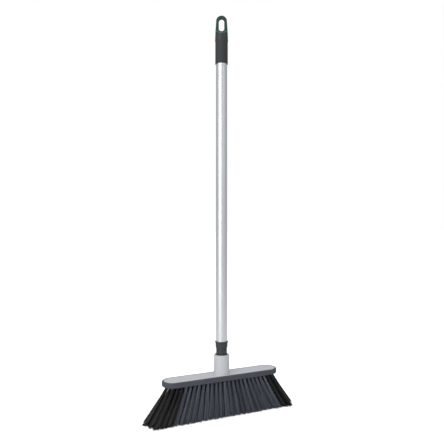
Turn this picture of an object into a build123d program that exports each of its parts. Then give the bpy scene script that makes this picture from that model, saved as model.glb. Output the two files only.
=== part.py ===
from build123d import *
import os
from math import sqrt

os.makedirs("parts", exist_ok=True)

# Indoor broom. Millimetres, +Z up, +X along the head, -Y to the front.
# The origin is on the floor, under the axis of the handle.

# ---- Overall sizes ----
overall_height = 886.0
head_length = 276.0
bristle_length = 75.5  # floor to the underside of the tuft board
block_height = 11.5
sweep_length = 358.0  # outline of the bristle tips on the floor
sweep_width = 68.0

# ---- Head ----
bumper_thickness = 3.7
bumper_round = 2.6
plate_thickness = 2.5
plate_edge_round = 0.8
plate_border = 2.0  # between the foot of the socket and the edge of the plate
skirt_thickness = 1.8
moulding_fit = 0.05  # gap left round a piece that is pushed into another

# ---- Tufts ----
row_names = ["front", "front_inner", "middle", "rear_inner", "rear"]
column_pitch = 9.7
hole_radius = 2.4
hole_depth = 7.0
hole_edge_wall = 0.45
outer_row_inset = 0.4
tuft_fit = 0.05
tip_gap = 1.6  # between the tips of two tufts that stand side by side
black_share_left = 0.333  # of the head's length, from the middle to the black tufts
black_share_right = 0.370
anchor_thickness = 0.4
anchor_height = 1.8
anchor_cover = 1.4  # folded bristle above the anchor
anchor_fit = 0.05

# ---- Socket in the head ----
socket_height = 43.0
socket_wall = 3.4  # at the mouth
socket_draft = 1.0  # wider at the foot than at the mouth
socket_foot_round = 1.1
socket_lip_round = 0.8
socket_floor = 1.5
mouth_depth = 18.0
mouth_gap = 1.0  # wider all round than the tube
mouth_chamfer = 0.7

# ---- Screw thread of the handle ----
thread_lead = 5.0
thread_depth = 1.7
thread_inset = 1.1  # its crest lies inside the tube's outside
thread_root_width = 2.6
thread_crest_width = 1.2
thread_clearance = 0.3
thread_lead_in = 1.5  # plain end of the plug under the first full turn of the groove
thread_run_out = 0.35  # between the last turn and the neck
thread_heading = 180.0  # where the thread starts, in degrees from +X
plug_end_gap = 1.6

# ---- Handle ----
tube_radius = 12.5
tube_wall = 1.0
neck_step = 0.4  # the neck is this much slimmer than the tube
neck_height = 15.5  # shows between the socket and the collar ring
neck_groove_depth = 0.5
neck_groove_width = 0.9
neck_groove_level = 2.6  # under the top of the neck
seat_gap = 0.2
ring_play = 0.15
ring_flange = 1.6
ring_height = 13.6
ring_wall = 0.7  # at the lower end
ring_draft = 0.35  # wider at the upper end
ring_lip = 0.9  # how far the lip stands out
ring_lip_height = 2.4
ring_clearance = 0.15
spigot_length = 30.0

# ---- Grip and hanging eye ----
eye_heading = -25.0  # where the slot faces, in degrees from the head's front
eye_height = 42.5
band_height = 16.5
grip_length = 49.5
grip_wall = 1.6
grip_end_round = 1.2
grip_top_round = 0.5
band_step = 0.5  # how far the band stands out past the grip
band_taper = 0.5
seam_height = 2.6  # the band's lower end draws in over this height
seam_depth = 0.6  # to this much inside the grip's outside
eye_narrowing = 2.1  # from its foot to its round top, each side
eye_top_thickness = 8.4
eye_neck_thickness = 9.6
eye_neck_level = 16.0  # above the foot of the eye
eye_scoop_thickness = 14.4
eye_scoop_level = 6.0
slot_width = 12.2
slot_height = 30.0
slot_lining = 0.9
slot_top_wall = 6.0
core_stem_width = 10.0
core_stem_depth = 14.0

# ---- Levels and radii worked out from the sizes above ----
mouth_radius = tube_radius + mouth_gap
socket_top_radius = mouth_radius + socket_wall
socket_base_radius = socket_top_radius + socket_draft

block_top = bristle_length + block_height
cover_length = head_length - 2 * bumper_thickness
cover_width = 2 * (socket_base_radius + plate_border)
head_width = cover_width + 2 * bumper_thickness
board_top = block_top - plate_thickness
board_length = cover_length - 2 * (skirt_thickness + moulding_fit)
board_width = cover_width - 2 * (skirt_thickness + moulding_fit)
hole_top = bristle_length + hole_depth

socket_top = block_top + socket_height
socket_seat = socket_top - mouth_depth
bore_bottom = board_top + socket_floor
thread_crest_radius = tube_radius - thread_inset
thread_root_radius = thread_crest_radius - thread_depth
bore_radius = thread_root_radius + thread_clearance
plug_bottom = bore_bottom + plug_end_gap
neck_radius = tube_radius - neck_step

neck_top = socket_top + neck_height
ring_bottom = neck_top + ring_play
tube_bottom = ring_bottom + ring_flange + ring_play
ring_inner_radius = tube_radius + ring_clearance
ring_lower_radius = ring_inner_radius + ring_wall
ring_upper_radius = ring_lower_radius + ring_draft
tube_bore_radius = tube_radius - tube_wall
spigot_radius = tube_bore_radius - moulding_fit

eye_bottom = overall_height - eye_height
band_bottom = eye_bottom - band_height
grip_bottom = band_bottom - grip_length
grip_bore_radius = tube_radius + moulding_fit
grip_radius = grip_bore_radius + grip_wall
band_radius = grip_radius + band_step
eye_base_radius = band_radius - band_taper
eye_top_radius = eye_base_radius - eye_narrowing
slot_middle = overall_height - slot_top_wall - slot_height / 2


def write(piece, name):
    """Label a finished piece and write it to its own file."""
    piece.part.label = name
    export_step(piece.part, f"parts/{name}.step")


# ---- Where the tufts stand ----
def tuft_rows():
    """The (x, y) places of the tuft holes, row by row, in a staggered pattern."""
    spine_end = (board_length - board_width) / 2
    reach = board_width / 2 - hole_edge_wall - hole_radius
    middle_row = (len(row_names) - 1) / 2
    row_pitch = (reach - outer_row_inset) / middle_row
    rows = []
    for index in range(len(row_names)):
        from_middle = index - middle_row
        y = from_middle * row_pitch
        shift = column_pitch / 2 if from_middle % 2 else 0
        limit = spine_end + sqrt(max(reach**2 - y**2, 0))
        side = int((limit - shift) // column_pitch)
        columns = range(-side - 1 if shift else -side, side + 1)
        rows.append([(column * column_pitch + shift, y) for column in columns])
    return rows


rows = tuft_rows()
outer_x = max(x for row in rows for x, y in row)
outer_y = max(y for row in rows for x, y in row)
spread_x = (sweep_length + tip_gap) / (2 * outer_x + column_pitch)
tip_radius = (column_pitch * spread_x - tip_gap) / 2
spread_y = (sweep_width / 2 - tip_radius) / outer_y


def color_groups(row):
    """Split one row into its black left end, its grey middle and its black right end."""
    left = [place for place in row if place[0] < -black_share_left * head_length]
    right = [place for place in row if place[0] > black_share_right * head_length]
    grey = [place for place in row if place not in left + right]
    return {"black_left": left, "grey": grey, "black_right": right}


# ---- Tuft board ----
with BuildPart() as tuft_board:
    with BuildSketch(Plane.XY.offset(bristle_length)):
        SlotOverall(board_length, board_width)
    extrude(amount=board_top - bristle_length)
    with BuildSketch(Plane.XY.offset(bristle_length)):
        for row in rows:
            with Locations(*row):
                Circle(hole_radius)
    extrude(amount=hole_depth, mode=Mode.SUBTRACT)
write(tuft_board, "tuft_board")


# ---- Anchors ----
anchor_length = 2 * (hole_radius - anchor_fit)
anchor_middle = hole_top - anchor_cover - anchor_height / 2
with BuildPart() as tuft_anchors:
    for row in rows:
        with Locations(*[(x, y, anchor_middle) for x, y in row]):
            Box(anchor_length, anchor_thickness, anchor_height)
write(tuft_anchors, "tuft_anchors")


# ---- Tufts ----
def make_tufts(places):
    """A group of tufts: round in the hole, then flared and leaning out down to the floor."""
    slot = anchor_fit * 2
    with BuildPart() as group:
        for x, y in places:
            with BuildSketch(Plane.XY.offset(bristle_length)) as root:
                with Locations((x, y)):
                    Circle(hole_radius - tuft_fit)
            extrude(root.sketch, amount=hole_depth - tuft_fit)
            with BuildSketch(Plane.XY) as tip:
                with Locations((x * spread_x, y * spread_y)):
                    Circle(tip_radius)
            loft([root.sketch, tip.sketch], ruled=True)
        with Locations(*[(x, y, anchor_middle) for x, y in places]):
            Box(anchor_length + 1, anchor_thickness + slot, anchor_height + slot, mode=Mode.SUBTRACT)
    return group


for row_name, row in zip(row_names, rows):
    for color, places in color_groups(row).items():
        if places:
            write(make_tufts(places), f"tufts_{row_name}_{color}")


# ---- Screw thread ----
thread_slope = (thread_root_width - thread_crest_width) / 2
thread_slope = thread_slope / (thread_crest_radius - thread_root_radius)
thread_inside = thread_root_radius - thread_clearance  # the rib starts inside the plug's core


def rib_half_width(radius, clearance):
    """Half the width of the helical rib at a radius, wider on each flank by the clearance."""
    past_crest = thread_crest_radius + clearance - radius
    return thread_crest_width / 2 + clearance + thread_slope * past_crest


def thread(level, turns, clearance):
    """A helical rib from a level upwards."""
    crest = thread_crest_radius + clearance
    inner_half = rib_half_width(thread_inside, clearance)
    crest_half = rib_half_width(crest, clearance)
    with BuildSketch(Plane.XZ) as section:
        with BuildLine():
            Polyline(
                (thread_inside, -inner_half),
                (crest, -crest_half),
                (crest, crest_half),
                (thread_inside, inner_half),
                close=True,
            )
        make_face()
    with BuildPart() as rib:
        with BuildLine():
            Helix(thread_lead, thread_lead * turns, thread_root_radius)
        sweep(section.sketch, is_frenet=True)
    return Pos(0, 0, level) * Rot(0, 0, thread_heading) * rib.part


# The groove starts a turn below the plug's rib and runs out at the seat.
groove_bottom = plug_bottom + thread_lead_in
groove_rise = socket_seat - groove_bottom + rib_half_width(thread_inside, thread_clearance)
thread_bottom = groove_bottom + thread_lead
thread_rise = socket_seat - thread_run_out - thread_root_width / 2 - thread_bottom


def groove_lengths():
    """The groove as overlapping lengths of just over half a turn, from the bottom up."""
    lengths = []
    turned = 0
    while turned * thread_lead < groove_rise:
        turns = min(0.55, groove_rise / thread_lead - turned)
        length = thread(groove_bottom + turned * thread_lead, turns, thread_clearance)
        lengths.append(Rot(0, 0, 360 * turned) * length)
        turned += 0.5
    return lengths


# ---- Cover with the handle socket ----
groove = groove_lengths()
with BuildPart() as block_cover:
    with BuildSketch(Plane.XY.offset(bristle_length)):
        SlotOverall(cover_length, cover_width)
    extrude(amount=block_height)
    with BuildSketch(Plane.XY.offset(bristle_length)):
        SlotOverall(cover_length - 2 * skirt_thickness, cover_width - 2 * skirt_thickness)
    extrude(amount=board_top - bristle_length, mode=Mode.SUBTRACT)
    fillet(block_cover.faces().sort_by(Axis.Z)[-1].outer_wire().edges(), plate_edge_round)
    with Locations((0, 0, block_top)):
        Cone(
            socket_base_radius,
            socket_top_radius,
            socket_height,
            align=(Align.CENTER, Align.CENTER, Align.MIN),
        )
    foot = block_cover.edges().filter_by(GeomType.CIRCLE)
    foot = foot.filter_by(lambda edge: abs(edge.radius - socket_base_radius) < 0.001)
    fillet(foot, socket_foot_round)
    fillet(block_cover.faces().sort_by(Axis.Z)[-1].outer_wire().edges(), socket_lip_round)
    with BuildSketch(Plane.XY.offset(socket_top)):
        Circle(mouth_radius)
    extrude(amount=-mouth_depth, mode=Mode.SUBTRACT)
    rim = block_cover.faces().sort_by(Axis.Z)[-1].inner_wires()[0].edges()
    chamfer(rim, mouth_chamfer)
    with BuildSketch(Plane.XY.offset(socket_seat)):
        Circle(bore_radius)
    extrude(amount=bore_bottom - socket_seat, mode=Mode.SUBTRACT)
    for length in groove:
        add(length, mode=Mode.SUBTRACT)
write(block_cover, "block_cover")


# ---- Bumper ----
with BuildPart() as bumper_rim:
    with BuildSketch(Plane.XY.offset(bristle_length)):
        SlotOverall(head_length, head_width)
    extrude(amount=block_height)
    outer_edges = [face.outer_wire().edges() for face in bumper_rim.faces().filter_by(Plane.XY)]
    fillet(outer_edges[0] + outer_edges[1], bumper_round)
    with BuildSketch(Plane.XY.offset(bristle_length)):
        SlotOverall(cover_length, cover_width)
    extrude(amount=block_height, mode=Mode.SUBTRACT)
write(bumper_rim, "bumper_rim")


# ---- Handle: threaded plug, collar ring and tube ----
plug_thread = thread(thread_bottom, thread_rise / thread_lead, 0)
with BuildPart() as threaded_plug:
    with BuildSketch(Plane.XY.offset(plug_bottom)):
        Circle(thread_root_radius)
    extrude(amount=socket_seat + seat_gap - plug_bottom)
    with BuildSketch(Plane.XY.offset(socket_seat + seat_gap)):
        Circle(neck_radius)
    extrude(amount=neck_top - socket_seat - seat_gap)
    with BuildSketch(Plane.XY.offset(neck_top - neck_groove_level)):
        Circle(neck_radius)
        Circle(neck_radius - neck_groove_depth, mode=Mode.SUBTRACT)
    extrude(amount=-neck_groove_width, mode=Mode.SUBTRACT)
    with BuildSketch(Plane.XY.offset(neck_top)):
        Circle(spigot_radius)
    extrude(amount=tube_bottom - neck_top + spigot_length)
    chamfer(threaded_plug.edges().filter_by(GeomType.CIRCLE).sort_by(Axis.Z)[0], 1.0)
    chamfer(threaded_plug.edges().filter_by(GeomType.CIRCLE).sort_by(Axis.Z)[-1], 1.0)
    add(plug_thread)
write(threaded_plug, "threaded_plug")

ring_hole_radius = spigot_radius + ring_clearance
ring_top = ring_bottom + ring_height
lip_bottom = ring_top - ring_lip_height
with BuildPart() as collar_ring:
    with BuildSketch(Plane.XZ) as ring_profile:
        with BuildLine():
            Polyline(
                (ring_hole_radius, ring_bottom),
                (ring_lower_radius, ring_bottom),
                (ring_upper_radius, lip_bottom - ring_lip),
                (ring_upper_radius + ring_lip, lip_bottom),
                (ring_upper_radius + ring_lip, ring_top),
                (ring_inner_radius, ring_top),
                (ring_inner_radius, ring_bottom + ring_flange),
                (ring_hole_radius, ring_bottom + ring_flange),
                close=True,
            )
        make_face()
        corners = ring_profile.vertices().group_by(Axis.X)[-1]
        corners += ring_profile.vertices().filter_by(
            lambda corner: corner.X > ring_inner_radius + 0.001 and corner.Z < ring_bottom + 0.001
        )
        fillet(corners, ring_wall / 3)
    revolve(axis=Axis.Z)
write(collar_ring, "collar_ring")

with BuildPart() as handle_tube:
    with BuildSketch(Plane.XY.offset(tube_bottom)):
        Circle(tube_radius)
        Circle(tube_bore_radius, mode=Mode.SUBTRACT)
    extrude(amount=band_bottom - tube_bottom)
write(handle_tube, "handle_tube")


# ---- Grip sleeve ----
with BuildPart() as grip_sleeve:
    with BuildSketch(Plane.XY.offset(grip_bottom)):
        Circle(grip_radius)
        Circle(grip_bore_radius, mode=Mode.SUBTRACT)
    extrude(amount=grip_length)
    rims = grip_sleeve.edges().filter_by(GeomType.CIRCLE)
    rims = rims.filter_by(lambda edge: abs(edge.radius - grip_radius) < 0.001).sort_by(Axis.Z)
    fillet(rims[-1], grip_top_round)
    fillet(rims[0], grip_end_round)
write(grip_sleeve, "grip_sleeve")


# ---- Hanging eye ----
def eye_shape():
    """The whole eye without its slot: round where it meets the band, flat at the top."""
    arc_level = overall_height - eye_top_radius
    with BuildPart() as eye:
        with BuildSketch(Plane.XZ):
            with BuildLine():
                side = Line((eye_base_radius, eye_bottom), (eye_top_radius, arc_level))
                top = ThreePointArc(side @ 1, (0, overall_height), (-eye_top_radius, arc_level))
                Polyline(top @ 1, (-eye_base_radius, eye_bottom), side @ 0)
            make_face()
        extrude(amount=eye_base_radius, both=True)
        with BuildSketch(Plane.YZ):
            with BuildLine():
                for side in (-1, 1):
                    scoop = ThreePointArc(
                        (side * eye_base_radius, eye_bottom),
                        (side * eye_scoop_thickness / 2, eye_bottom + eye_scoop_level),
                        (side * eye_neck_thickness / 2, eye_bottom + eye_neck_level),
                    )
                    Line(scoop @ 1, (side * eye_top_thickness / 2, overall_height))
                Line((-eye_base_radius, eye_bottom), (eye_base_radius, eye_bottom))
                Line((-eye_top_thickness / 2, overall_height), (eye_top_thickness / 2, overall_height))
            make_face()
        extrude(amount=eye_base_radius, both=True, mode=Mode.INTERSECT)
        with BuildSketch(Plane.XY.offset(eye_bottom)):
            Circle(eye_base_radius)
        extrude(amount=eye_height, mode=Mode.INTERSECT)
    return Rot(0, 0, eye_heading) * eye.part


def slot_block(growth):
    """A block through the eye with the slot's outline, larger all round by the growth."""
    with BuildPart() as block:
        with BuildSketch(Plane.XZ):
            with Locations((0, slot_middle)):
                SlotOverall(slot_height + 2 * growth, slot_width + 2 * growth, rotation=90)
        extrude(amount=eye_base_radius + 1, both=True)
    return Rot(0, 0, eye_heading) * block.part


eye = eye_shape()
slot = slot_block(0)
lined_slot = slot_block(slot_lining)
stem_top = slot_middle - slot_height / 2

with BuildPart() as hanger_cover:
    add(eye)
    add(lined_slot, mode=Mode.SUBTRACT)
    with Locations((0, 0, eye_bottom)):
        Box(
            core_stem_width,
            core_stem_depth,
            stem_top - eye_bottom,
            rotation=(0, 0, eye_heading),
            align=(Align.CENTER, Align.CENTER, Align.MIN),
            mode=Mode.SUBTRACT,
        )
write(hanger_cover, "hanger_cover")

with BuildPart() as hanger_core:
    add(eye)
    add(lined_slot, mode=Mode.INTERSECT)
    with Locations((0, 0, eye_bottom)):
        Box(
            core_stem_width,
            core_stem_depth,
            stem_top - eye_bottom,
            rotation=(0, 0, eye_heading),
            align=(Align.CENTER, Align.CENTER, Align.MIN),
        )
    add(slot, mode=Mode.SUBTRACT)
    with Locations((0, 0, band_bottom)):
        Cone(
            grip_radius - seam_depth,
            band_radius,
            seam_height,
            align=(Align.CENTER, Align.CENTER, Align.MIN),
        )
    with Locations((0, 0, band_bottom + seam_height)):
        Cone(
            band_radius,
            eye_base_radius,
            band_height - seam_height,
            align=(Align.CENTER, Align.CENTER, Align.MIN),
        )
    with BuildSketch(Plane.XY.offset(band_bottom)):
        Circle(spigot_radius)
    extrude(amount=-spigot_length)
write(hanger_core, "hanger_core")
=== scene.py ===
import math

import bmesh
import bpy
import numpy as np
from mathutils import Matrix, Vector


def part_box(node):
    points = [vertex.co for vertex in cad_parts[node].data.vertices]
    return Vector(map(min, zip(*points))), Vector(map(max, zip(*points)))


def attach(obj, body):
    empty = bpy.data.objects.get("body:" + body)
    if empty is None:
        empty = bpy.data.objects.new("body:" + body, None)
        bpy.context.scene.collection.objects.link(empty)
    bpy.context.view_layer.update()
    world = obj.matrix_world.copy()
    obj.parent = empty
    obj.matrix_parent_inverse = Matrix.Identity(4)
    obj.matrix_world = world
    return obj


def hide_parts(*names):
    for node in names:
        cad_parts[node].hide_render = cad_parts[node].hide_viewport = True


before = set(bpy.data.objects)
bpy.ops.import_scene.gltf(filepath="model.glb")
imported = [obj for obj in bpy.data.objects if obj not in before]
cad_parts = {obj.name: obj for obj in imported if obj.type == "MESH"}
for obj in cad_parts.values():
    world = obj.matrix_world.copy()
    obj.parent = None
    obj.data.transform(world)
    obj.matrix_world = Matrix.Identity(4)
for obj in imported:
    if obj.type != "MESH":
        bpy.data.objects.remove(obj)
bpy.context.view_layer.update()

MM = 0.001

# ---- Camera ----
camera_azimuth = math.radians(-25.0)
camera_elevation = math.radians(-0.5)
camera_distance = 1.1
camera_aim_height = 0.4245
camera_aim_side = 0.0010
camera_lens = 39.9

# ---- Tufts ----
outer_row = {"strands": 62, "steps": 25}
inner_row = {"strands": 32, "steps": 18}
strand_sides = 3
strand_radius = 0.33 * MM
strand_tip_radius = 0.30 * MM
root_radius = 2.15 * MM
root_depth = 3.0 * MM
grey_reach = np.array([7.4, 6.6]) * MM  # half the width and depth of a tuft at the floor
black_reach = np.array([8.6, 8.4]) * MM
tip_corner = 2.8  # 2 is an ellipse, higher is squarer
flare_power = 1.1  # over 1, a tuft opens out more towards its tip
tip_stray = 1.0 * MM
tuft_lean = 1.1 * MM
tip_ragged = 2.4 * MM
tip_ragged_power = 1.6  # higher leaves fewer strands short
crimp_length = 11.0 * MM
crimp_height = 0.40 * MM
crimp_stray = 0.9  # radians between the strands of one tuft
crimp_drift = 180.0  # radians per metre along the head
# painted highlights along the strands: their spacing along a strand, their drift across the head into a
# diagonal twill, and their scatter between strands
highlight_spacing = 5.5 * MM
highlight_drift = 95.0  # turns per metre along the head
highlight_stray = 0.07
tone_middle = 0.48
tone_per_tuft = 0.05
tone_per_strand = 0.17
painted_inner_shade = 0.3  # painted shade: lighter the further out a strand lies, darker inside the tuft
# core: a dark column of painted shade inside each tuft, standing for the shade between its strands
shade_core_tone = 0.1
core_share = 0.78
core_sides = 12
core_steps = 8

# ---- Grip ----
grip_bore_gap = 0.05 * MM
grip_edge = 1.2 * MM
grip_top_edge = 0.5 * MM
grip_rings = 40
flute_count = 20
flute_points = 12
flute_depth = 0.28 * MM
flute_end = 3.0 * MM
flute_power = 1.5

# ---- Hanging eye ----
eye_voxel = 0.35 * MM
eye_smoothing = 5

rng = np.random.default_rng(7)


# ======== Camera, light and floor ========
def aim(thing, target):
    """Turn a lamp or a camera towards a point."""
    direction = target - thing.location
    thing.rotation_mode = "QUATERNION"
    thing.rotation_quaternion = direction.to_track_quat("-Z", "Y")


def make_camera():
    data = bpy.data.cameras.new("camera")
    data.lens = camera_lens
    data.sensor_width = 36.0
    data.clip_start = 0.01
    data.clip_end = 60.0
    camera = bpy.data.objects.new("camera", data)
    bpy.context.scene.collection.objects.link(camera)
    flat = math.cos(camera_elevation)
    back = Vector((
        math.sin(camera_azimuth) * flat,
        -math.cos(camera_azimuth) * flat,
        math.sin(camera_elevation),
    ))
    right = Vector((math.cos(camera_azimuth), math.sin(camera_azimuth), 0.0))
    target = right * camera_aim_side + Vector((0.0, 0.0, camera_aim_height))
    camera.location = target + back * camera_distance
    aim(camera, target)
    bpy.context.scene.camera = camera


def make_lamp(name, place, target, size, power, color):
    data = bpy.data.lights.new(name, "AREA")
    data.shape = "RECTANGLE"
    data.size = size[0]
    data.size_y = size[1]
    data.energy = power
    data.color = color
    lamp = bpy.data.objects.new(name, data)
    bpy.context.scene.collection.objects.link(lamp)
    lamp.location = place
    aim(lamp, Vector(target))


def make_light():
    world = bpy.data.worlds.new("studio")
    bpy.context.scene.world = world
    world.use_nodes = True
    nodes, links = world.node_tree.nodes, world.node_tree.links
    dim = nodes["Background"]
    dim.inputs["Color"].default_value = (0.97, 0.985, 1.0, 1.0)
    dim.inputs["Strength"].default_value = 0.40
    bright = nodes.new("ShaderNodeBackground")
    bright.inputs["Color"].default_value = (1.0, 1.0, 1.0, 1.0)
    choose = nodes.new("ShaderNodeMixShader")
    links.new(nodes.new("ShaderNodeLightPath").outputs["Is Camera Ray"], choose.inputs["Fac"])
    links.new(dim.outputs["Background"], choose.inputs[1])
    links.new(bright.outputs["Background"], choose.inputs[2])
    links.new(choose.outputs["Shader"], nodes["World Output"].inputs["Surface"])
    middle = (0.0, 0.0, 0.4)
    make_lamp("key", (-1.55, -1.05, 0.95), middle, (1.1, 1.9), 18.0, (1.0, 0.995, 0.98))
    make_lamp("fill", (0.9, -2.2, 1.3), middle, (1.0, 1.4), 3.5, (0.97, 0.98, 1.0))
    make_lamp("top", (0.1, 0.2, 2.4), middle, (1.6, 1.6), 18.0, (1.0, 1.0, 1.0))


def make_floor():
    """A wide pale floor that runs out to a white surround."""
    mesh = bpy.data.meshes.new("floor")
    reach = 30.0
    corners = [(-reach, -reach, 0.0), (reach, -reach, 0.0), (reach, reach, 0.0), (-reach, reach, 0.0)]
    mesh.from_pydata(corners, [], [(0, 1, 2, 3)])
    floor = bpy.data.objects.new("floor", mesh)
    bpy.context.scene.collection.objects.link(floor)
    material = bpy.data.materials.new("pale_floor")
    material.use_nodes = True
    nodes, links = material.node_tree.nodes, material.node_tree.links
    shader = nodes["Principled BSDF"]
    shader.inputs["Base Color"].default_value = (0.93, 0.935, 0.94, 1.0)
    shader.inputs["Roughness"].default_value = 0.9
    shader.inputs["Specular IOR Level"].default_value = 0.1
    shader.inputs["Emission Color"].default_value = (1.0, 1.0, 1.0, 1.0)
    glow = nodes.new("ShaderNodeMath")
    glow.operation = "MULTIPLY"
    glow.inputs[1].default_value = 0.75
    links.new(nodes.new("ShaderNodeLightPath").outputs["Is Camera Ray"], glow.inputs[0])
    links.new(glow.outputs[0], shader.inputs["Emission Strength"])
    mesh.materials.append(material)


# ======== Shader node groups ========
def new_group(name, inputs, outputs):
    """An empty node group with float inputs (name, value) and outputs (name, socket type)."""
    group = bpy.data.node_groups.new(name, "ShaderNodeTree")
    for socket_name, value in inputs:
        socket = group.interface.new_socket(socket_name, in_out="INPUT", socket_type="NodeSocketFloat")
        socket.default_value = value
    for socket_name, kind in outputs:
        group.interface.new_socket(socket_name, in_out="OUTPUT", socket_type=kind)
    return group, group.nodes.new("NodeGroupInput"), group.nodes.new("NodeGroupOutput")


def math_node(nodes, links, operation, first, second=0.0):
    """A math node whose inputs are sockets or plain numbers."""
    node = nodes.new("ShaderNodeMath")
    node.operation = operation
    for slot, value in zip(node.inputs, (first, second)):
        if isinstance(value, (int, float)):
            slot.default_value = value
        else:
            links.new(value, slot)
    return node.outputs[0]


def range_node(nodes, links, value, low, high, to_low, to_high):
    """Map a value from one range to another, held inside its ends."""
    node = nodes.new("ShaderNodeMapRange")
    links.new(value, node.inputs["Value"])
    for slot, number in (("From Min", low), ("From Max", high), ("To Min", to_low), ("To Max", to_high)):
        if isinstance(number, (int, float)):
            node.inputs[slot].default_value = number
        else:
            links.new(number, node.inputs[slot])
    return node.outputs["Result"]


def noise_node(nodes, links, vector, scale, detail=3.0, rough=0.55):
    node = nodes.new("ShaderNodeTexNoise")
    node.inputs["Detail"].default_value = detail
    node.inputs["Roughness"].default_value = rough
    if isinstance(scale, (int, float)):
        node.inputs["Scale"].default_value = scale
    else:
        links.new(scale, node.inputs["Scale"])
    links.new(vector, node.inputs["Vector"])
    return node.outputs["Fac"]


def stretched(nodes, links, vector, scale):
    """The coordinates, squeezed or stretched along each axis."""
    node = nodes.new("ShaderNodeMapping")
    node.inputs["Scale"].default_value = scale
    links.new(vector, node.inputs["Vector"])
    return node.outputs["Vector"]


def make_mottle_group():
    """Slow cloudy variation, 0 to 1, as in any moulded or anodised surface."""
    group, entry, out = new_group(
        "mottle", [("Scale", 18.0), ("Contrast", 0.5)], [("Value", "NodeSocketFloat")]
    )
    nodes, links = group.nodes, group.links
    where = nodes.new("ShaderNodeTexCoord").outputs["Object"]
    broad = noise_node(nodes, links, where, entry.outputs["Scale"], 4.0)
    half = math_node(nodes, links, "MULTIPLY", entry.outputs["Contrast"], 0.5)
    low = math_node(nodes, links, "SUBTRACT", 0.5, half)
    high = math_node(nodes, links, "ADD", 0.5, half)
    links.new(range_node(nodes, links, broad, 0.3, 0.7, low, high), out.inputs["Value"])
    return group


def make_grain_group():
    """The fine eroded texture of a plastic mould: a height and a matching gloss variation."""
    group, entry, out = new_group(
        "mould_grain",
        [("Scale", 900.0), ("Pits", 0.4)],
        [("Height", "NodeSocketFloat"), ("Gloss", "NodeSocketFloat")],
    )
    nodes, links = group.nodes, group.links
    where = nodes.new("ShaderNodeTexCoord").outputs["Object"]
    fine = noise_node(nodes, links, where, entry.outputs["Scale"], 2.0, 0.6)
    cells = nodes.new("ShaderNodeTexVoronoi")
    links.new(where, cells.inputs["Vector"])
    links.new(entry.outputs["Scale"], cells.inputs["Scale"])
    pits = math_node(nodes, links, "MULTIPLY", cells.outputs["Distance"], entry.outputs["Pits"])
    height = math_node(nodes, links, "ADD", fine, pits)
    links.new(height, out.inputs["Height"])
    links.new(range_node(nodes, links, height, 0.3, 1.0, 0.0, 1.0), out.inputs["Gloss"])
    return group


def make_edge_group():
    """A mask of rubbed outer edges, broken up so that the wear isn't even."""
    group, entry, out = new_group(
        "edge_rub", [("Reach", 0.0012), ("Amount", 0.6)], [("Mask", "NodeSocketFloat")]
    )
    nodes, links = group.nodes, group.links
    bevel = nodes.new("ShaderNodeBevel")
    bevel.samples = 6
    links.new(entry.outputs["Reach"], bevel.inputs["Radius"])
    geometry = nodes.new("ShaderNodeNewGeometry")
    agree = nodes.new("ShaderNodeVectorMath")
    agree.operation = "DOT_PRODUCT"
    links.new(bevel.outputs["Normal"], agree.inputs[0])
    links.new(geometry.outputs["Normal"], agree.inputs[1])
    edge = range_node(nodes, links, agree.outputs["Value"], 0.985, 0.80, 0.0, 1.0)
    where = nodes.new("ShaderNodeTexCoord").outputs["Object"]
    patchy = noise_node(nodes, links, where, 160.0, 3.0)
    patchy = range_node(nodes, links, patchy, 0.38, 0.62, 0.25, 1.0)
    mask = math_node(nodes, links, "MULTIPLY", edge, patchy)
    links.new(math_node(nodes, links, "MULTIPLY", mask, entry.outputs["Amount"]), out.inputs["Mask"])
    return group


def make_scuff_group():
    """Thin faint scratches from handling, in two crossing directions."""
    group, entry, out = new_group(
        "scuffs", [("Density", 0.5), ("Amount", 0.5)], [("Mask", "NodeSocketFloat")]
    )
    nodes, links = group.nodes, group.links
    where = nodes.new("ShaderNodeTexCoord").outputs["Object"]
    rows = []
    for scale in ((70.0, 900.0, 900.0), (800.0, 800.0, 60.0)):
        streak = noise_node(nodes, links, stretched(nodes, links, where, scale), 1.0, 1.0)
        limit = range_node(nodes, links, entry.outputs["Density"], 0.0, 1.0, 0.80, 0.60)
        above = math_node(nodes, links, "SUBTRACT", streak, limit)
        rows.append(range_node(nodes, links, above, 0.0, 0.05, 0.0, 1.0))
    either = math_node(nodes, links, "MAXIMUM", rows[0], rows[1])
    links.new(math_node(nodes, links, "MULTIPLY", either, entry.outputs["Amount"]), out.inputs["Mask"])
    return group


def make_dust_group():
    """A mask of fine dust that settles on faces that look up."""
    group, entry, out = new_group("dust", [("Amount", 0.3)], [("Mask", "NodeSocketFloat")])
    nodes, links = group.nodes, group.links
    geometry = nodes.new("ShaderNodeNewGeometry")
    parts = nodes.new("ShaderNodeSeparateXYZ")
    links.new(geometry.outputs["Normal"], parts.inputs["Vector"])
    up = range_node(nodes, links, parts.outputs["Z"], 0.2, 0.95, 0.0, 1.0)
    where = nodes.new("ShaderNodeTexCoord").outputs["Object"]
    speck = noise_node(nodes, links, where, 420.0, 5.0, 0.7)
    speck = range_node(nodes, links, speck, 0.42, 0.7, 0.1, 1.0)
    mask = math_node(nodes, links, "MULTIPLY", up, speck)
    links.new(math_node(nodes, links, "MULTIPLY", mask, entry.outputs["Amount"]), out.inputs["Mask"])
    return group


groups = {
    "mottle": make_mottle_group(),
    "grain": make_grain_group(),
    "edge": make_edge_group(),
    "scuffs": make_scuff_group(),
    "dust": make_dust_group(),
}


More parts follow.
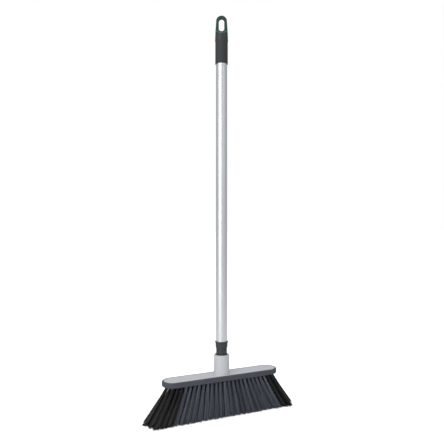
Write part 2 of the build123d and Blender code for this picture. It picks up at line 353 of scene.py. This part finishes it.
# ======== Materials ========
class Finish:
    """One material: its shader, and short ways to add to its colour, gloss and bump."""

    def __init__(self, name, roughness, metallic=0.0):
        self.material = bpy.data.materials.new(name)
        self.material.use_nodes = True
        self.nodes = self.material.node_tree.nodes
        self.links = self.material.node_tree.links
        self.shader = self.nodes["Principled BSDF"]
        self.shader.inputs["Roughness"].default_value = roughness
        self.shader.inputs["Metallic"].default_value = metallic

    def effect(self, kind, **values):
        """Place a shared group with its own values."""
        node = self.nodes.new("ShaderNodeGroup")
        node.node_tree = groups[kind]
        for name, value in values.items():
            node.inputs[name].default_value = value
        return node.outputs

    def mix(self, mask, first, second):
        """A colour that goes from the first to the second as the mask rises."""
        node = self.nodes.new("ShaderNodeMix")
        node.data_type = "RGBA"
        self.links.new(mask, node.inputs["Factor"])
        for slot, color in ((node.inputs["A"], first), (node.inputs["B"], second)):
            if isinstance(color, tuple):
                slot.default_value = (*color, 1.0)
            else:
                self.links.new(color, slot)
        return node.outputs["Result"]

    def color(self, socket):
        self.links.new(socket, self.shader.inputs["Base Color"])

    def gloss(self, value, low, high):
        """Roughness that goes from low to high with a 0 to 1 value."""
        rough = range_node(self.nodes, self.links, value, 0.0, 1.0, low, high)
        self.links.new(rough, self.shader.inputs["Roughness"])

    def bump(self, height, distance, strength=1.0):
        node = self.nodes.new("ShaderNodeBump")
        node.inputs["Strength"].default_value = strength
        node.inputs["Distance"].default_value = distance
        self.links.new(height, node.inputs["Height"])
        self.links.new(node.outputs["Normal"], self.shader.inputs["Normal"])


def moulded_plastic(name, dark, light, worn, rough, grain, scuff, dust, rub):
    """Injection moulded plastic or rubber: cloudy colour, mould grain, rubbed edges and a little dust."""
    finish = Finish(name, rough[0])
    cloud = finish.effect("mottle", Scale=26.0, Contrast=0.9)["Value"]
    base = finish.mix(cloud, dark, light)
    edges = finish.effect("edge", Reach=0.0010, Amount=rub)["Mask"]
    base = finish.mix(edges, base, worn)
    marks = finish.effect("scuffs", Density=0.45, Amount=scuff)["Mask"]
    base = finish.mix(marks, base, worn)
    film = finish.effect("dust", Amount=dust)["Mask"]
    finish.color(finish.mix(film, base, (0.62, 0.61, 0.58)))
    texture = finish.effect("grain", Scale=grain[0], Pits=0.5)
    finish.gloss(texture["Gloss"], rough[0], rough[1])
    finish.bump(texture["Height"], grain[1], 0.6)
    return finish.material


def drawn_aluminium():
    """Satin drawn tube: fine lines along its length, in the colour, the gloss and the bump."""
    finish = Finish("drawn_aluminium", 0.3, 1.0)
    nodes, links = finish.nodes, finish.links
    where = nodes.new("ShaderNodeTexCoord").outputs["Object"]
    fine = noise_node(nodes, links, stretched(nodes, links, where, (1500.0, 1500.0, 9.0)), 1.0, 3.0)
    wide = noise_node(nodes, links, stretched(nodes, links, where, (260.0, 260.0, 2.0)), 1.0, 3.0)
    lines = math_node(nodes, links, "MULTIPLY", fine, wide)
    cloud = finish.effect("mottle", Scale=9.0, Contrast=0.8)["Value"]
    tone = math_node(nodes, links, "MULTIPLY", lines, 1.4)
    tone = math_node(nodes, links, "ADD", math_node(nodes, links, "MULTIPLY", cloud, 0.25), tone)
    base = finish.mix(tone, (0.76, 0.775, 0.80), (0.84, 0.848, 0.86))
    marks = finish.effect("scuffs", Density=0.3, Amount=0.35)["Mask"]
    finish.color(finish.mix(marks, base, (0.70, 0.70, 0.71)))
    finish.gloss(lines, 0.43, 0.50)
    finish.bump(lines, 0.00003, 0.4)
    finish.shader.inputs["Anisotropic"].default_value = 0.35
    return finish.material


def bristle_plastic(name, shade, tone, bright, rough):
    """Crimped filament: each strand has its own tone, with painted shade on the inner strands and painted
    highlights along its crimps in turn; bright is the painted highlight colour.
    """
    finish = Finish(name, rough)
    nodes, links = finish.nodes, finish.links
    # strand tone: random tone per strand, with painted shade on inner strands and dark cores
    strand = nodes.new("ShaderNodeAttribute")
    strand.attribute_name = "strand_tone_and_shade"
    along = nodes.new("ShaderNodeAttribute")
    along.attribute_name = "strand_highlight_phase"
    # painted highlights: a wave of lighter colour running along each strand
    turned = math_node(nodes, links, "MULTIPLY", along.outputs["Fac"], 2 * math.pi)
    crimp_highlight = math_node(nodes, links, "SINE", turned)
    where = nodes.new("ShaderNodeTexCoord").outputs["Object"]
    fine = noise_node(nodes, links, where, 1400.0, 2.0)
    # strand tone with painted shade, plus the painted highlights and fine noise
    lift = math_node(nodes, links, "MULTIPLY", crimp_highlight, 0.26)
    lift = math_node(nodes, links, "ADD", lift, strand.outputs["Fac"])
    lift = math_node(nodes, links, "ADD", lift, range_node(nodes, links, fine, 0.3, 0.7, -0.05, 0.05))
    # from the shade colour up to the middle tone, then up to the bright painted highlight colour
    base = finish.mix(range_node(nodes, links, lift, 0.0, 0.5, 0.0, 1.0), shade, tone)
    finish.color(finish.mix(range_node(nodes, links, lift, 0.5, 1.0, 0.0, 1.0), base, bright))
    finish.gloss(fine, rough - 0.08, rough + 0.12)
    finish.bump(math_node(nodes, links, "ADD", fine, crimp_highlight), 0.00012, 0.6)
    return finish.material


def galvanised_steel():
    """Zinc on thin steel strip, cloudy from the bath."""
    finish = Finish("galvanised_steel", 0.35, 1.0)
    cloud = finish.effect("mottle", Scale=300.0, Contrast=1.0)["Value"]
    finish.color(finish.mix(cloud, (0.42, 0.42, 0.41), (0.62, 0.62, 0.60)))
    finish.gloss(cloud, 0.25, 0.5)
    return finish.material


materials = {
    "light_grey_plastic": moulded_plastic(
        "light_grey_plastic", (0.59, 0.605, 0.64), (0.635, 0.65, 0.685), (0.76, 0.77, 0.80),
        (0.32, 0.46), (1100.0, 0.00005), scuff=0.25, dust=0.08, rub=0.45,
    ),
    "slate_rubber": moulded_plastic(
        "slate_rubber", (0.050, 0.056, 0.070), (0.064, 0.072, 0.090), (0.12, 0.13, 0.15),
        (0.50, 0.72), (1500.0, 0.00008), scuff=0.12, dust=0.06, rub=0.35,
    ),
    "slate_plastic": moulded_plastic(
        "slate_plastic", (0.030, 0.034, 0.043), (0.042, 0.047, 0.058), (0.09, 0.10, 0.12),
        (0.45, 0.60), (1200.0, 0.00006), scuff=0.2, dust=0.1, rub=0.3,
    ),
    "dark_grey_plastic": moulded_plastic(
        "dark_grey_plastic", (0.030, 0.032, 0.034), (0.039, 0.042, 0.044), (0.08, 0.083, 0.086),
        (0.40, 0.56), (1300.0, 0.00006), scuff=0.12, dust=0.04, rub=0.3,
    ),
    "soft_grip": moulded_plastic(
        "soft_grip", (0.031, 0.033, 0.035), (0.040, 0.042, 0.044), (0.07, 0.071, 0.073),
        (0.55, 0.75), (1700.0, 0.0001), scuff=0.08, dust=0.04, rub=0.2,
    ),
    "green_plastic": moulded_plastic(
        "green_plastic", (0.0035, 0.044, 0.031), (0.0050, 0.056, 0.039), (0.02, 0.10, 0.075),
        (0.40, 0.54), (1200.0, 0.00006), scuff=0.1, dust=0.02, rub=0.25,
    ),
    "aluminium_tube": drawn_aluminium(),
    # bristles: shade colour, middle tone, and the bright colour of the painted highlights
    "grey_bristle": bristle_plastic(
        "grey_bristle", (0.018, 0.021, 0.029), (0.095, 0.110, 0.145), (0.27, 0.30, 0.36), 0.46
    ),
    "black_bristle": bristle_plastic(
        "black_bristle", (0.0015, 0.0016, 0.0022), (0.0045, 0.0050, 0.0065), (0.015, 0.017, 0.022), 0.42
    ),
    "anchor_metal": galvanised_steel(),
}


def finish_cad(node, material):
    """Give a carried-over CAD node its material."""
    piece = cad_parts[node]
    if not piece.material_slots:
        piece.data.materials.append(materials[material])
    for slot in piece.material_slots:
        slot.material = materials[material]


# ======== Mesh helpers ========
def new_piece(name, verts, faces, material, body, node):
    """A smooth-shaded mesh piece that rides on a body and stands for a CAD node."""
    mesh = bpy.data.meshes.new(name)
    mesh.from_pydata(verts, [], faces)
    mesh.materials.append(materials[material])
    mesh.polygons.foreach_set("use_smooth", np.ones(len(mesh.polygons), bool))
    mesh.update()
    piece = bpy.data.objects.new(name, mesh)
    bpy.context.scene.collection.objects.link(piece)
    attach(piece, body)
    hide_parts(node)
    return piece


# ======== Tufts ========
tuft_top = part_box("tuft_board")[0].z + root_depth


def middle_of(points):
    """The middle of the box round some points."""
    return (points.min(axis=0) + points.max(axis=0)) / 2


def tuft_axes(node):
    """(root centre, tip centre) of each tuft solid of a CAD node, from left to right."""
    mesh = bmesh.new()
    mesh.from_mesh(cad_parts[node].data)
    bmesh.ops.remove_doubles(mesh, verts=mesh.verts, dist=1e-6)
    seen = set()
    axes = []
    for start in mesh.verts:
        if start.index in seen:
            continue
        seen.add(start.index)
        island = [start]
        for vert in island:
            for edge in vert.link_edges:
                other = edge.other_vert(vert)
                if other.index not in seen:
                    seen.add(other.index)
                    island.append(other)
        points = np.array([vert.co for vert in island])
        root = points[points[:, 2] > points[:, 2].max() - 1e-5]
        tip = points[points[:, 2] < 1e-5]
        axes.append((middle_of(root), middle_of(tip)))
    mesh.free()
    return sorted(axes, key=lambda axis: axis[0][0])


def squared(side):
    """Points of the unit disc pushed outwards towards a rounded square."""
    length = np.linalg.norm(side, axis=1)
    direction = side / length[:, None]
    stretch = (np.abs(direction) ** tip_corner).sum(axis=1) ** (-1 / tip_corner)
    return side * stretch[:, None]


def strand_paths(root, tip, reach, count, steps):
    """Centre lines of one tuft's strands, how far out each lies, and the phase of its painted crimp
    highlights counted along it.
    """
    angle = rng.uniform(0, 2 * math.pi, count)
    out = np.sqrt(rng.uniform(0.30, 1.0, count))
    side = np.stack([np.cos(angle) * out, np.sin(angle) * out], axis=1)
    tip_spread = squared(side) * reach + rng.normal(0, tip_stray, (count, 2))
    along = np.linspace(0, 1, steps + 1)
    ease = along**flare_power
    start = np.array([root[0], root[1]]) + side * root_radius
    end = np.array([tip[0], tip[1]]) + tip_spread
    flat = start[:, None, :] + (end - start)[:, None, :] * ease[None, :, None]
    low = tip_ragged * rng.uniform(0, 1, count) ** tip_ragged_power
    height = tuft_top + (low[:, None] - tuft_top) * along[None, :]
    length = math.dist(root, tip)
    shift = rng.uniform(-crimp_stray, crimp_stray, count)[:, None] + root[0] * crimp_drift
    phase = (along * length * 2 * math.pi / crimp_length)[None, :] + shift
    swing = crimp_height * np.minimum(along * 4, 1.0)
    flat[:, :, 0] += swing * np.sin(phase)
    flat[:, :, 1] += 0.6 * swing * np.cos(phase * 1.1)
    # phase of the painted highlights along the strand, drifting across the head into a diagonal twill
    offset = end[:, :1] * highlight_drift + rng.normal(0, highlight_stray, (count, 1))
    highlight_counts = (along * length / highlight_spacing)[None, :] + offset
    return np.concatenate([flat, height[:, :, None]], axis=2), out, highlight_counts


def tubes(paths, radii, twist):
    """Thin prisms round centre lines: vertices, quads and end caps."""
    count, rings = paths.shape[:2]
    corner = np.arange(strand_sides) * 2 * math.pi / strand_sides
    corner = corner[None, :] + twist[:, None]
    ring = np.stack([np.cos(corner), np.sin(corner), np.zeros_like(corner)], axis=2)
    verts = paths[:, :, None, :] + ring[:, None, :, :] * radii[None, :, None, None]
    first = (np.arange(count) * rings * strand_sides)[:, None, None]
    level = (np.arange(rings - 1) * strand_sides)[None, :, None]
    here = np.arange(strand_sides)[None, None, :]
    there = (here + 1) % strand_sides
    a = first + level + here
    b = first + level + there
    quads = np.stack([a, a + strand_sides, b + strand_sides, b], axis=3).reshape(-1, 4)
    last = first[:, 0, 0] + (rings - 1) * strand_sides
    caps = [[int(v + k) for k in reversed(range(strand_sides))] for v in last]
    caps += [[int(v + k) for k in range(strand_sides)] for v in first[:, 0, 0]]
    return verts.reshape(-1, 3), quads.tolist() + caps


def shade_core(root, tip, reach):
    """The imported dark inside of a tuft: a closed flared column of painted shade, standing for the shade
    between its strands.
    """
    angle = np.arange(core_sides) * 2 * math.pi / core_sides
    side = np.stack([np.cos(angle), np.sin(angle)], axis=1)
    tip_side = squared(side) * reach
    rings = []
    for share in np.linspace(0, 1, core_steps + 1):
        spread = share**flare_power
        around = (side * root_radius * (1 - spread) + tip_side * spread) * core_share
        center = root[:2] + (tip[:2] - root[:2]) * spread
        level = np.full((core_sides, 1), tuft_top + (tip_ragged - tuft_top) * share)
        rings.append(np.hstack([around + center, level]))
    verts = np.concatenate(rings)
    faces = []
    for level in range(core_steps):
        for k in range(core_sides):
            a = level * core_sides + k
            b = level * core_sides + (k + 1) % core_sides
            faces.append([a, a + core_sides, b + core_sides, b])
    faces.append(list(range(core_sides)))
    faces.append([core_steps * core_sides + k for k in reversed(range(core_sides))])
    return verts, faces


def make_tufts(node, material, reach, row):
    """All tufts of one CAD node as crimped strands round dark cores of painted shade, in one mesh."""
    verts, faces, tones, highlight_counts = [], [], [], []
    total = 0

    def take(new_verts, new_faces, tone, crimp_highlight):
        nonlocal total
        verts.append(new_verts)
        faces.extend([[v + total for v in face] for face in new_faces])
        tones.append(tone)
        highlight_counts.append(crimp_highlight)
        total += len(new_verts)

    for root, tip in tuft_axes(node):
        tip = tip + np.array([*rng.normal(0, tuft_lean / 2, 2), 0.0])
        # painted shade: the dark column inside the tuft
        core_verts, core_faces = shade_core(root, tip, reach)
        take(core_verts, core_faces, np.full(len(core_verts), shade_core_tone), np.zeros(len(core_verts)))
        paths, out, crimp_highlight = strand_paths(root, tip, reach, row["strands"], row["steps"])
        radii = np.linspace(strand_radius, strand_tip_radius, row["steps"] + 1)
        strand_verts, strand_faces = tubes(paths, radii, rng.uniform(0, 2, row["strands"]))
        own = rng.normal(rng.normal(tone_middle, tone_per_tuft), tone_per_strand, row["strands"])
        # painted shade: strands further inside the tuft come out darker, outer ones lighter
        own = np.clip(own + (out - 0.8) * painted_inner_shade, 0.05, 1.0)
        tone = np.repeat(own, (row["steps"] + 1) * strand_sides)
        take(strand_verts, strand_faces, tone, np.repeat(crimp_highlight.reshape(-1), strand_sides))
    piece = new_piece(node + "_strands", np.concatenate(verts), faces, material, "head", node)
    # per-vertex tone with painted shade, and the phase of the painted crimp highlights
    for name, values in (("strand_tone_and_shade", tones), ("strand_highlight_phase", highlight_counts)):
        attribute = piece.data.attributes.new(name, "FLOAT", "POINT")
        attribute.data.foreach_set("value", np.concatenate(values).astype(np.float32))


def make_all_tufts():
    """Every row of tufts: the outer rows and the black ends are fuller than the rows inside."""
    for node in sorted(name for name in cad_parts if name.startswith("tufts_")):
        if not node.endswith("grey"):
            make_tufts(node, "black_bristle", black_reach, outer_row)
        elif "inner" in node or "middle" in node:
            make_tufts(node, "grey_bristle", grey_reach, inner_row)
        else:
            make_tufts(node, "grey_bristle", grey_reach, outer_row)


# ======== Grip sleeve ========
def make_grip():
    """The sleeve with shallow flutes that fade out before both ends."""
    low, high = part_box("grip_sleeve")
    tube_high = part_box("handle_tube")[1]
    outer = (high.x - low.x) / 2
    bore = tube_high.x + grip_bore_gap
    around = flute_count * flute_points
    levels = [(low.z, bore), (low.z, outer - grip_edge)]
    for step in range(1, 5):
        turn = math.radians(90 * step / 4)
        round_radius = outer - grip_edge * (1 - math.sin(turn))
        levels.append((low.z + grip_edge * (1 - math.cos(turn)), round_radius))
    rise = np.linspace(low.z + grip_edge, high.z - grip_top_edge, grip_rings)[1:]
    levels += [(float(z), outer) for z in rise]
    corner = 0.3 * grip_top_edge
    levels += [(high.z - corner, outer - corner), (high.z, outer - grip_top_edge), (high.z, bore)]
    verts, faces = [], []
    for z, radius in levels:
        into = min(z - low.z, high.z - z) / flute_end
        fade = min(max(into - 0.4, 0.0), 1.0)
        for k in range(around):
            angle = 2 * math.pi * k / around
            cut = flute_depth * fade * (0.5 - 0.5 * math.cos(angle * flute_count)) ** flute_power
            away = radius - (cut if radius > outer - grip_edge / 2 else 0.0)
            verts.append((away * math.cos(angle), away * math.sin(angle), z))
    rows = len(levels)
    for row in range(rows):
        under = row * around
        above = (row + 1) % rows * around
        for k in range(around):
            after = (k + 1) % around
            faces.append((under + k, under + after, above + after, above + k))
    new_piece("grip_sleeve_fluted", verts, faces, "soft_grip", "handle", "grip_sleeve")


# ======== Hanging eye ========
def soften(node, material, body):
    """A copy of a CAD node with the soft edges of a moulding."""
    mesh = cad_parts[node].data.copy()
    piece = bpy.data.objects.new(node + "_soft", mesh)
    bpy.context.scene.collection.objects.link(piece)
    remesh = piece.modifiers.new("even", "REMESH")
    remesh.mode = "VOXEL"
    remesh.voxel_size = eye_voxel
    smooth = piece.modifiers.new("soft", "SMOOTH")
    smooth.factor = 0.5
    smooth.iterations = eye_smoothing
    depsgraph = bpy.context.evaluated_depsgraph_get()
    softened = bpy.data.meshes.new_from_object(piece.evaluated_get(depsgraph))
    piece.modifiers.clear()
    piece.data = softened
    softened.materials.clear()
    softened.materials.append(materials[material])
    softened.polygons.foreach_set("use_smooth", np.ones(len(softened.polygons), bool))
    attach(piece, body)
    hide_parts(node)


make_camera()
make_light()
make_floor()
for node, material in (
    ("block_cover", "light_grey_plastic"),
    ("bumper_rim", "slate_rubber"),
    ("tuft_board", "slate_plastic"),
    ("tuft_anchors", "anchor_metal"),
    ("handle_tube", "aluminium_tube"),
    ("threaded_plug", "dark_grey_plastic"),
    ("collar_ring", "dark_grey_plastic"),
    ("hanger_core", "dark_grey_plastic"),
):
    finish_cad(node, material)
make_all_tufts()
make_grip()
soften("hanger_cover", "green_plastic", "handle")
bpy.context.scene.view_settings.view_transform = "Standard"
